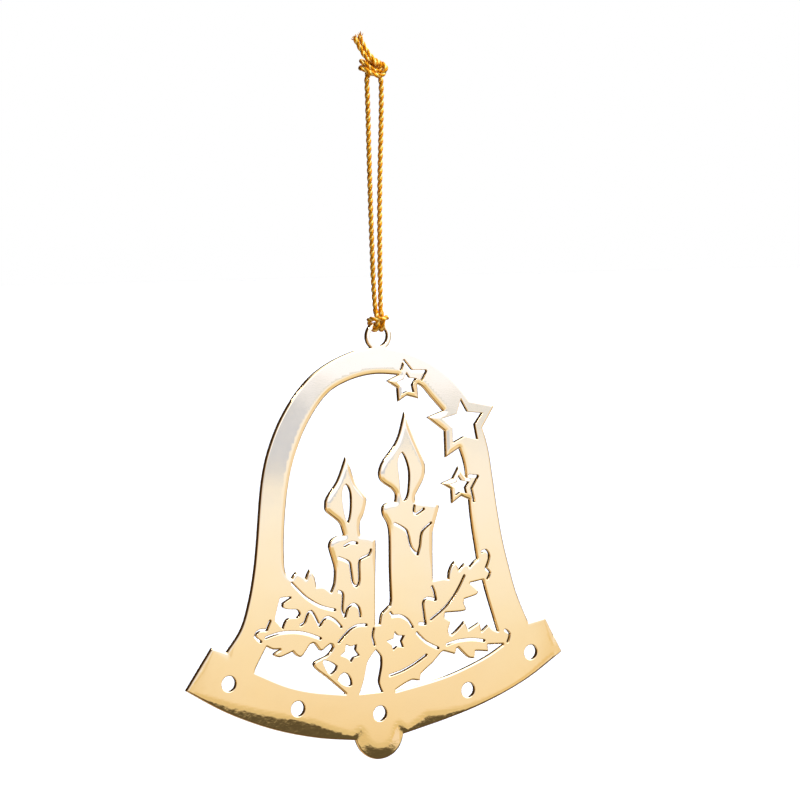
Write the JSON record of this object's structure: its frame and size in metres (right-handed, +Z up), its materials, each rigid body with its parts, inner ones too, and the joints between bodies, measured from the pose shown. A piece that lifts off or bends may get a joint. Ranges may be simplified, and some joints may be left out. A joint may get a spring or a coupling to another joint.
{
  "type": "bell ornament",
  "caption": "Flat cut brass sheet in the shape of a bell with candles, leaves and stars, hung from an eye on a knotted gold cord.",
  "frame": {"origin": "middle of the cord's top knot, which is where the ornament is held up", "axes": "+Z up along the hanging cord, the sheet lies in the XZ plane and its front faces -Y, +X to the right seen from the front"},
  "size_m": [0.0874, 0.004, 0.1479],
  "materials": {
    "brass": "polished",
    "gold_cord": "metallic yarn"
  },
  "bodies": {
    "hanger": {"top_knot": "gold_cord", "cord_tail_left": "gold_cord", "cord_tail_right": "gold_cord"},
    "strands": {"cord_strand_left": "gold_cord", "cord_strand_right": "gold_cord"},
    "hitch": {"eye_hitch": "gold_cord"},
    "bell": {"bell_plate": "brass"}
  },
  "joints": [
    {"name": "cord_twist", "type": "hinge", "parent": "hanger", "child": "strands", "pos_m": [0, 0, 0], "axis": [0, 0, 1], "range_deg": [-180, 180]},
    {"name": "bell_rock", "type": "hinge", "parent": "strands", "child": "hitch", "pos_m": [0.001, 0, -0.05153], "axis": [0, 1, 0], "range_deg": [-25, 25]},
    {"name": "bell_swing", "type": "hinge", "parent": "hitch", "child": "bell", "pos_m": [0.001, 0, -0.05153], "axis": [1, 0, 0], "range_deg": [-60, 60]}
  ]
}
